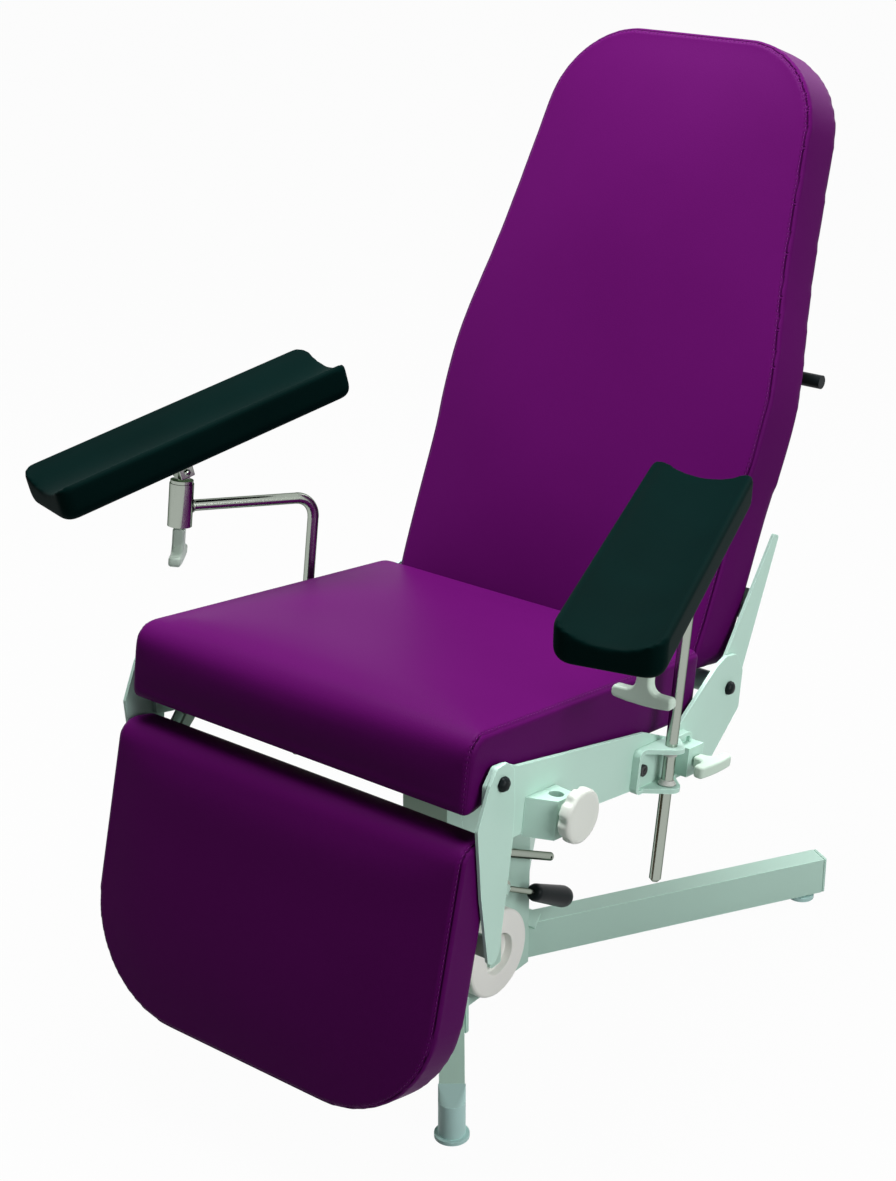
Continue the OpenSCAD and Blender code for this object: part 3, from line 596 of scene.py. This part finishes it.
def swell(pad, seam_tree, is_strip, crown, strip_swell):
    board_edge, seam_edge, last_step = 0.012, 0.006, 20
    rest = [v.co.copy() for v in pad.data.vertices]
    facing = [v.normal.copy() for v in pad.data.vertices]
    free = [v.co.z >= board_edge and seam_tree.find(v.co)[2] >= seam_edge
            for v in pad.data.vertices]
    held = pad.vertex_groups.new(name="held")
    held.add([index for index, loose in enumerate(free) if not loose], 1.0, "REPLACE")
    cloth = pad.modifiers.new("cloth", "CLOTH")
    cloth.settings.quality = 3
    cloth.settings.mass = 0.3
    cloth.settings.tension_stiffness = 10
    cloth.settings.compression_stiffness = 10
    cloth.settings.shear_stiffness = 5
    cloth.settings.bending_stiffness = 2
    cloth.settings.vertex_group_mass = "held"
    cloth.settings.use_pressure = True
    cloth.settings.uniform_pressure_force = 4
    cloth.settings.effector_weights.gravity = 0
    cloth.collision_settings.use_collision = False
    cloth.collision_settings.use_self_collision = False
    cloth.point_cache.frame_start = 1
    cloth.point_cache.frame_end = last_step
    for step in range(1, last_step + 1):
        bpy.context.scene.frame_set(step)
    graph = bpy.context.evaluated_depsgraph_get()
    filled = bpy.data.meshes.new_from_object(pad.evaluated_get(graph))
    pad.modifiers.clear()
    pad.vertex_groups.clear()
    pad.data = filled
    bpy.context.scene.frame_set(1)
    moves = [v.co - old for v, old in zip(filled.vertices, rest)]
    beside = [[] for vert in filled.vertices]
    for edge in filled.edges:
        first, second = edge.vertices
        beside[first].append(second)
        beside[second].append(first)
    for ironing in range(6):
        moves = [(moves[here] + sum((moves[n] for n in beside[here]), Vector()) / len(beside[here]))
                 / 2 if free[here] else moves[here] for here in range(len(moves))]
    farthest = max(move.length for move in moves)
    for vert, old, move, normal in zip(filled.vertices, rest, moves, facing):
        if move.length > 0:
            cap = strip_swell if is_strip(normal) else crown
            share = math.tanh(3.5 * move.length / farthest)
            vert.co = old + move.normalized() * min(cap * share, move.length)


def sew(pad, stretches, seam_tree):
    thread_length, thread_width, stitch_gap, from_seam = 0.0042, 0.0011, 0.0062, 0.0042
    groove_wide, groove_deep = 0.0010, 0.0019
    roll_off, roll_wide, roll_high = 0.0055, 0.003, 0.0005
    hole_wide, hole_deep = 0.0016, 0.0007
    seam_reach = 0.014
    holes = []
    for spot, run, inward in paced(stretches, stitch_gap):
        found, place, normal, face = pad.closest_point_on_mesh(spot + inward * from_seam)
        holes.append((place, run, normal))
    hole_tree = KDTree(len(holes))
    for index, hole in enumerate(holes):
        hole_tree.insert(hole[0], index)
    hole_tree.balance()
    bm = bmesh.new()
    bm.from_mesh(pad.data)
    for reach in (0.0095, 0.0065, 0.0030):
        close = {v for v in bm.verts if seam_tree.find(v.co)[2] < reach}
        near = [e for e in bm.edges if e.verts[0] in close and e.verts[1] in close]
        bmesh.ops.subdivide_edges(bm, edges=near, cuts=1, use_grid_fill=True)
    bm.normal_update()
    # The seam layer marks the groove and stitch holes, where the vinyl is darkened: painted shade,
    # with some dirt.
    depth = bm.verts.layers.float.new("seam")
    normals = {v: v.normal.copy() for v in bm.verts}
    for vert in bm.verts:
        off = seam_tree.find(vert.co)[2]
        if off < seam_reach:
            groove = math.exp(-(off / groove_wide) ** 2)
            roll = math.exp(-((off - roll_off) / roll_wide) ** 2)
            dimple = math.exp(-(hole_tree.find(vert.co)[2] / hole_wide) ** 2)
            vert.co += normals[vert] * (roll_high * roll - groove_deep * groove - hole_deep * dimple)
            vert[depth] = min(1.0, groove + 0.6 * dimple)
    bm.to_mesh(pad.data)
    bm.free()
    for face in pad.data.polygons:
        face.use_smooth = True
    pad.data.materials.clear()
    pad.data.materials.append(vinyl)
    bm = bmesh.new()
    for place, run, normal in holes:
        side = normal.cross(run).normalized()
        lie = laid(place - normal * 0.0002, run, side, normal)
        size = Matrix.Diagonal((thread_length / 2, thread_width / 2, thread_width / 2, 1))
        bmesh.ops.create_icosphere(bm, subdivisions=1, radius=1, matrix=lie @ size)
    stitches = bpy.data.objects.new(pad.name + "_stitching",
                                    bpy.data.meshes.new(pad.name + "_stitching"))
    bm.to_mesh(stitches.data)
    bm.free()
    for face in stitches.data.polygons:
        face.use_smooth = True
    stitches.data.materials.append(thread)
    bpy.context.scene.collection.objects.link(stitches)
    return stitches


def fitted(pad, stitches, place, body, node):
    for piece in (pad, stitches):
        piece.data.transform(place)
        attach(piece, body)
    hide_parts(node)


def rolled_block(wide, deep, high, roll, far_round, lip=0.0):
    lip_deep, lip_back = 0.020, 0.036
    under = ((0, -lip, 0), (lip_deep, -lip, 0), (lip_back, 0, 0)) if lip else ((0, 0, 0),)
    bm = rounded_outline((*under, (deep, 0, 0), (deep, high, 0), (0, high, roll)))
    raised(bm, wide)
    bm.transform(Matrix(((0, 0, 1, -wide / 2), (1, 0, 0, 0), (0, 1, 0, 0), (0, 0, 0, 1))))
    bm.normal_update()
    far = [e for e in bm.edges if abs(e.verts[0].co.z - e.verts[1].co.z) > high / 2
           and all(v.co.y > deep - 0.001 for v in e.verts)]
    bmesh.ops.bevel(bm, geom=far, offset=far_round, affect="EDGES", segments=16, profile=0.5,
                    material=-1)
    return bm


seat_wide, seat_deep, seat_high = 0.516, 0.489, 0.090
seat_roll, seat_rear_round, seat_lip = 0.030, 0.016, 0.006
seat_ahead, seat_below = 0.0435, 0.0305
seat_place = laid(pivots["leg_rest_lift"] - seat_back * seat_ahead - seat_up * seat_below,
                  right_to_left, seat_back, seat_up)
bm = rolled_block(seat_wide, seat_deep, seat_high, seat_roll, seat_rear_round, seat_lip)
seat_cushion, seat_stitches = upholstered(
    "seat_cushion", bm, lambda n: abs(n.z) < 0.3 and n.y > -0.5, 0.007, 0.011, 0.0016)
fitted(seat_cushion, seat_stitches, seat_place, "frame", "seat_pad")

# Back cushion: the same cloth and foam on its own board, narrowing to a rounded top. A side strip
# runs all round it, and its foot hangs in front of the pivot tube. The board is screwed to a
# strap between two flat arms, and a push bar with black end grips crosses behind it.
dress(("back_arm_left", "back_arm_right"), frame_paint, 0.0010)
dress(("back_bars",), frame_paint)
dress(("back_board",), board_wood, 0.0010)
dress(("push_bar",), stainless)
dress(("push_grips",), black_plastic, 0.0012)
lean = math.radians(25)
back_up = Vector((0, math.sin(lean), math.cos(lean)))
back_out = Vector((0, -math.cos(lean), math.sin(lean)))
back_behind, back_above = 0.0135, 0.026
back_place = laid(pivots["back_recline"] - back_out * back_behind + back_up * back_above,
                  right_to_left, back_up, back_out)
back_strap_behind, back_strap_above = 0.0329, 0.110
strap_screws("back_screws", pivots["back_recline"] - back_out * back_strap_behind
             + back_up * back_strap_above, -back_up, -back_out, "back")
back_half, back_long, back_thick, back_top_round = 0.256, 0.798, 0.0735, 0.128
panel_share, panel_middle = (0.961, 0.984, 1), back_long * 0.45
foot_drop, foot_tall = 0.030, 0.120


def smooth_line(points, steps):
    line = []
    ends = [points[0]] + points + [points[-1]]
    for before, start, stop, after in zip(ends, ends[1:], ends[2:], ends[3:]):
        line += interpolate_bezier(start, start + (stop - before) / 6,
                                   stop - (after - start) / 6, stop, steps)[:-1]
    return line + [points[-1]]


back_side = [Vector((back_half * share, back_long * rise)) for share, rise in (
    (0.955, 0.0), (0.985, 0.03), (0.995, 0.12), (0.998, 0.25), (1.015, 0.34), (1.005, 0.45),
    (0.9125, 0.62), (0.848, 0.78))]
shoulder = Vector((back_half * 0.824 - back_top_round, back_long - back_top_round))
for turn in range(4, 85, 10):
    back_side.append(shoulder + back_top_round * Vector((math.cos(math.radians(turn)),
                                                         math.sin(math.radians(turn)))))
bm = bmesh.new()
ring = [bm.verts.new((u - 0.001, v, 0)) for u, v in smooth_line(back_side, 5)]
ring += [bm.verts.new((-v.co.x, v.co.y, 0)) for v in reversed(ring)]
bm.faces.new(ring)
raised(bm, back_thick)
front = [v for v in bm.verts if v.co.z > 0.001]
bmesh.ops.scale(bm, vec=panel_share, verts=front,
                space=Matrix.Translation((0, -panel_middle, 0)))
for vert in front:
    vert.co.y -= foot_drop * max(0.0, 1 - vert.co.y / foot_tall)
back_cushion, back_stitches = upholstered(
    "back_cushion", bm, lambda n: abs(n.z) < 0.5, 0.008, 0.013, 0.002)
fitted(back_cushion, back_stitches, back_place, "back", "back_pad")

# Leg cushion: the same make, with wide round lower corners. Its panel rolls over the top edge,
# and the side strip is sewn on down both sides and round the bottom. Two tapered arms, a cross bar
# and a strap carry its board.
dress(("leg_arm_left", "leg_arm_right"), frame_paint, 0.0010)
dress(("leg_bars",), frame_paint)
dress(("leg_board",), board_wood, 0.0010)
hang = math.radians(14.5)
leg_down = Vector((0, -math.sin(hang), -math.cos(hang)))
leg_out = Vector((0, -math.cos(hang), math.sin(hang)))
leg_behind, leg_below = 0.0187, 0.0685
leg_place = laid(pivots["leg_rest_lift"] - leg_out * leg_behind + leg_down * leg_below,
                 -right_to_left, leg_down, leg_out)
leg_strap_behind, leg_strap_below = 0.0369, 0.2015
strap_screws("leg_screws", pivots["leg_rest_lift"] - leg_out * leg_strap_behind
             + leg_down * leg_strap_below, leg_down, -leg_out, "leg_rest")
leg_wide, leg_long, leg_thick, leg_roll, leg_round = 0.534, 0.359, 0.0625, 0.026, 0.145
bm = rolled_block(leg_wide, leg_long, leg_thick, leg_roll, leg_round)
leg_cushion, leg_stitches = upholstered(
    "leg_cushion", bm, lambda n: abs(n.z) < 0.3 and n.y > -0.5, 0.007, 0.011, 0.001)
fitted(leg_cushion, leg_stitches, leg_place, "leg_rest", "leg_pad")

# Mechanism under the seat: a flat steel link that turns the leg rest with the back,
# and a black gas spring on a welded bracket.
black_enamel = coated("black_enamel", (0.012, 0.012, 0.014), 0.3, 700, 0.06)
dress(("sync_link", "gas_rod"), stainless)
dress(("gas_anchor",), frame_paint, 0.0008)
dress(("gas_cylinder",), black_enamel)

# Arm brackets: painted clamps on the rails, each with a cap screw, hold the bent stainless rods in
# nylon bushes. A sleeve is welded to the front end of each rod and takes the gutter's post.
nylon = coated("natural_nylon", (0.52, 0.53, 0.50), 0.5, 900, 0.05)
dress(("rail_clamp_left", "rail_clamp_right"), frame_paint, 0.0014)
dress(("arm_rod_left", "arm_rod_right", "gutter_post_left", "gutter_post_right"), stainless)
rail_face, rod_out, bar_reach = 0.2685, 0.290, 0.200
arms = {"left": (1, 0.336, math.radians(18.4)), "right": (-1, 0.322, math.radians(19.35))}


def on_arm(side, out, back, up):
    sign, place, turn = arms[side]
    return (pivots["leg_rest_lift"] + right_to_left * sign * out + seat_back * (place + back)
            + seat_up * up)


bush_low, bush_span = -0.082, 0.043
clamp_thick, screw_ahead, screw_low = 0.0052, 0.036, -0.060
bar_up, weld_short, bead_radius, bead_round = 0.157, 0.0165, 0.0078, 0.0017
bush = ((0.0076, 0.0), (0.0112, 0.0), (0.0112, 0.0018), (0.0090, 0.0026), (0.0086, 0.0056),
        (0.0076, 0.0060), (0.0076, 0.0))
for side, (sign, place, turn) in arms.items():
    lower = turned(bush, 40)
    upper = bmesh.ops.duplicate(lower, geom=lower.verts[:] + lower.edges[:] + lower.faces[:])
    flipped = [v for v in upper["geom"] if isinstance(v, bmesh.types.BMVert)]
    bmesh.ops.scale(lower, vec=(1, 1, -1), verts=flipped)
    bmesh.ops.translate(lower, vec=(0, 0, bush_span), verts=flipped)
    made("flanged_bushes_" + side, lower, nylon,
         laid(on_arm(side, rod_out, 0, bush_low), right_to_left * sign, seat_back * sign, seat_up),
         "arm_bush_" + side, "arm_bush_" + side)
    made("clamp_screw_" + side, socket_screw(0.0075, 0.0045), black_enamel,
         laid(on_arm(side, rail_face + clamp_thick, -screw_ahead, screw_low), seat_back,
              seat_up * sign, right_to_left * sign), "frame")
    bar_run = right_to_left * sign * math.sin(turn) - seat_back * math.cos(turn)
    bead = turned([(bead_radius + bead_round * math.cos(math.radians(a)),
                    bead_round * math.sin(math.radians(a))) for a in range(0, 361, 30)], 40)
    made("sleeve_weld_" + side, bead, stainless,
         laid(on_arm(side, rod_out, 0, bar_up) + bar_run * (bar_reach - weld_short), seat_up,
              bar_run.cross(seat_up), bar_run), "arm_" + side)

# Gutters: self-skinned foam, near black, moulded with a hollow for the forearm and round ends.
# Two steel lugs with a pin under each one take the post's tongue.
gutter_long, gutter_wide, gutter_low, gutter_top, end_round = 0.425, 0.122, 0.020, 0.068, 0.017
foam_skin = coated("black_foam_skin", (0.0007, 0.0064, 0.0058), 0.55, 380, 0.25, cloud=0.5,
                   gloss=0.007)


def trough_section():
    half = gutter_wide / 2
    base_round, rim_round, hollow_deep = 0.016, 0.005, 0.016
    hollow_radius = gutter_wide * 0.91
    line = [Vector((half - base_round + base_round * math.sin(math.radians(a)),
                    gutter_low + base_round - base_round * math.cos(math.radians(a))))
            for a in range(0, 91, 18)]
    line += [Vector((half - rim_round + rim_round * math.cos(math.radians(a)),
                     gutter_top - rim_round + rim_round * math.sin(math.radians(a))))
             for a in range(0, 136, 27)]
    line += [Vector((hollow_radius * math.sin(math.radians(a)),
                     gutter_top - hollow_deep + hollow_radius * (1 - math.cos(math.radians(a)))))
             for a in range(28, -1, -4)]
    return line + [Vector((-p.x, p.y)) for p in reversed(line[:-1])]


def foam_gutter(name):
    bm = bmesh.new()
    middle = (gutter_low + gutter_top) / 2
    end_slope = 0.42
    stations = [(end_round * (1 - math.cos(math.radians(a))),
                 end_round * (1 - math.sin(math.radians(a)))) for a in range(0, 91, 15)]
    stations += [(gutter_long - along, narrow) for along, narrow in reversed(stations)]
    loops = []
    for along, narrow in stations:
        wide = 1 - narrow / (gutter_wide / 2)
        tall = 1 - end_slope * narrow / (gutter_top - middle)
        ring = [bm.verts.new((p.x * wide, along - gutter_long / 2, middle + (p.y - middle) * tall))
                for p in trough_section()]
        loops.append([bm.edges.new(pair) for pair in zip(ring, ring[1:] + ring[:1])])
    for first, second in zip(loops, loops[1:]):
        bmesh.ops.bridge_loops(bm, edges=first + second)
    for last in (loops[0], loops[-1]):
        bmesh.ops.contextual_create(bm, geom=last)
    bmesh.ops.recalc_face_normals(bm, faces=bm.faces[:])
    rough = bpy.data.objects.new(name + "_rough", bpy.data.meshes.new(name + "_rough"))
    bm.to_mesh(rough.data)
    bm.free()
    bpy.context.scene.collection.objects.link(rough)
    even = rough.modifiers.new("even", "REMESH")
    even.mode = "VOXEL"
    even.voxel_size = 0.0032
    soft = rough.modifiers.new("soft", "SMOOTH")
    soft.factor = 0.5
    soft.iterations = 4
    finer = rough.modifiers.new("finer", "SUBSURF")
    finer.levels = finer.render_levels = 1
    graph = bpy.context.evaluated_depsgraph_get()
    bm = bmesh.new()
    bm.from_mesh(rough.evaluated_get(graph).to_mesh())
    bpy.data.objects.remove(rough)
    return bm


for side, dip, behind in (("left", math.radians(13.5), 0.006),
                          ("right", math.radians(20.5), 0.026)):
    sign, place, turn = arms[side]
    level = seat_back * math.cos(turn) - right_to_left * sign * math.sin(turn)
    along = level * math.cos(dip) + seat_up * math.sin(dip)
    upward = seat_up * math.cos(dip) - level * math.sin(dip)
    tilt = pivots["gutter_" + side + "_tilt"]
    gutter = made("arm_gutter_" + side, foam_gutter(side), foam_skin,
                  laid(tilt + along * behind, along.cross(upward), along, upward),
                  "gutter_" + side, "gutter_" + side)
    lugs = bmesh.new()
    lug_size = Matrix.Diagonal((0.008, 0.020, 0.0296, 1))
    for lug_off in (-0.0094, 0.0094):
        lug = bmesh.ops.create_cube(
            lugs, size=1, matrix=Matrix.Translation((lug_off, 0, 0.0068)) @ lug_size)
        rims = list(dict.fromkeys(e for v in lug["verts"] for e in v.link_edges))
        bmesh.ops.bevel(lugs, geom=rims, offset=0.0015, affect="EDGES", segments=3,
                        profile=0.5, material=-1)
    bmesh.ops.create_cone(lugs, cap_ends=True, segments=32, radius1=0.004, radius2=0.004,
                          depth=0.031, matrix=Matrix.Rotation(math.pi / 2, 4, "Y"))
    made("gutter_lugs_" + side, lugs, stainless,
         laid(tilt, along.cross(upward), along, upward), "gutter_" + side)

# T handles: grey moulded plastic on steel screws, one under each sleeve and one on each clamp.
# The neck runs out into a bar with round ends and a slightly bowed outer edge.


def tee_handle(stem, wide):
    thick, fillet, neck, end = 0.016, 0.012, 0.009, 0.005
    foot = -stem - 0.012
    half = [Vector((neck, -0.001))]
    half += [Vector((neck + fillet + fillet * math.cos(math.radians(a)),
                     foot + thick + fillet + fillet * math.sin(math.radians(a))))
             for a in range(180, 271, 15)]
    half += [Vector((wide / 2 - end + end * math.cos(math.radians(a)),
                     foot + thick - end + end * math.sin(math.radians(a))))
             for a in range(90, -1, -22)]
    half += [Vector((wide / 2 - end + end * math.cos(math.radians(a)),
                     foot + end + 0.002 + end * math.sin(math.radians(a))))
             for a in range(0, -81, -20)]
    half += [Vector((wide / 4, foot + 0.0005)), Vector((0, foot))]
    outline = half + [Vector((-p.x, p.y)) for p in reversed(half[:-1])]
    bm = bmesh.new()
    bm.faces.new([bm.verts.new((p.x, -thick / 2, p.y)) for p in outline])
    grown = bmesh.ops.extrude_face_region(bm, geom=bm.faces[:])
    bmesh.ops.translate(bm, vec=(0, thick, 0),
                        verts=[v for v in grown["geom"] if isinstance(v, bmesh.types.BMVert)])
    bmesh.ops.recalc_face_normals(bm, faces=bm.faces[:])
    rims = [e for e in bm.edges if e.calc_face_angle() > math.radians(50)]
    bmesh.ops.bevel(bm, geom=rims, offset=0.0036, affect="EDGES", segments=4,
                    profile=0.5, material=-1)
    return bm


sleeve_tee, clamp_tee = (0.036, 0.076), (0.022, 0.073)
sleeve_foot, clamp_nut, tee_back, tee_low = 0.1304, 0.0247, 0.059, -0.065
handle_plastic = coated("grey_handle_plastic", (0.50, 0.62, 0.53), 0.42, 1300, 0.08, gloss=0.3)
for side, twist in (("left", math.radians(-14)), ("right", math.radians(34))):
    sign, place, turn = arms[side]
    across = right_to_left * sign * math.cos(turn + twist) + seat_back * math.sin(turn + twist)
    under = on_arm(side, rod_out + bar_reach * math.sin(turn), -bar_reach * math.cos(turn),
                   sleeve_foot)
    made("sleeve_tee_" + side, tee_handle(*sleeve_tee), handle_plastic,
         laid(under, across, seat_up.cross(across), seat_up),
         "sleeve_handle_" + side, "sleeve_handle_" + side)
    made("clamp_tee_" + side, tee_handle(*clamp_tee), handle_plastic,
         laid(on_arm(side, rail_face + clamp_nut, tee_back, tee_low), seat_back,
              seat_up * sign, right_to_left * -sign),
         "clamp_handle_" + side, "clamp_handle_" + side)

# Accessory socket: a bored steel block welded to the left rail. An off-white plastic knob clamps
# what stands in it. The knob has a plain round face and finger scallops round its rim.
dress(("socket_block",), frame_paint, 0.0012)
knob_radius, scallops, scallop_deep = 0.033, 8, 0.0042
knob_back, knob_below, knob_off = 0.094, 0.049, 0.0336
knob = turned(((0.0, -0.0055), (0.0038, -0.0055), (0.0038, 0.0), (0.0125, 0.0), (0.0130, 0.0055),
               (0.0200, 0.0062), (0.0285, 0.0070), (0.0320, 0.0092), (0.0330, 0.0125),
               (0.0330, 0.0165), (0.0328, 0.0195), (0.0318, 0.0220), (0.0295, 0.0236),
               (0.0262, 0.0240), (0.0190, 0.0240), (0.0182, 0.0236), (0.0, 0.0236)), 96)
for vert in knob.verts:
    rim = vert.co.xy.length
    if rim > 0.024:
        level = min(1.0, max(0.0, (0.0215 - vert.co.z) / 0.006))
        scallop = max(0.0, math.cos(scallops * math.atan2(vert.co.y, vert.co.x))) ** 1.2
        drawn = 1 - scallop_deep * level * scallop * (rim - 0.022) / 0.011 / knob_radius
        vert.co.x *= drawn
        vert.co.y *= drawn
knob_root = pivots["leg_rest_lift"] + seat_back * knob_back - seat_up * knob_below
# The edge setting pales the knob's edges: partly rubbed wear and partly a painted highlight.
knob_plastic = coated("ivory_knob_plastic", (0.64, 0.67, 0.62), 0.36, 1200, 0.06, cloud=0.05,
                      gloss=0.4, wear_and_highlight=0.8)
made("scalloped_knob", knob, knob_plastic,
     laid(knob_root + right_to_left * (rail_face + knob_off), seat_back, seat_up, right_to_left),
     "socket_knob", "socket_knob")
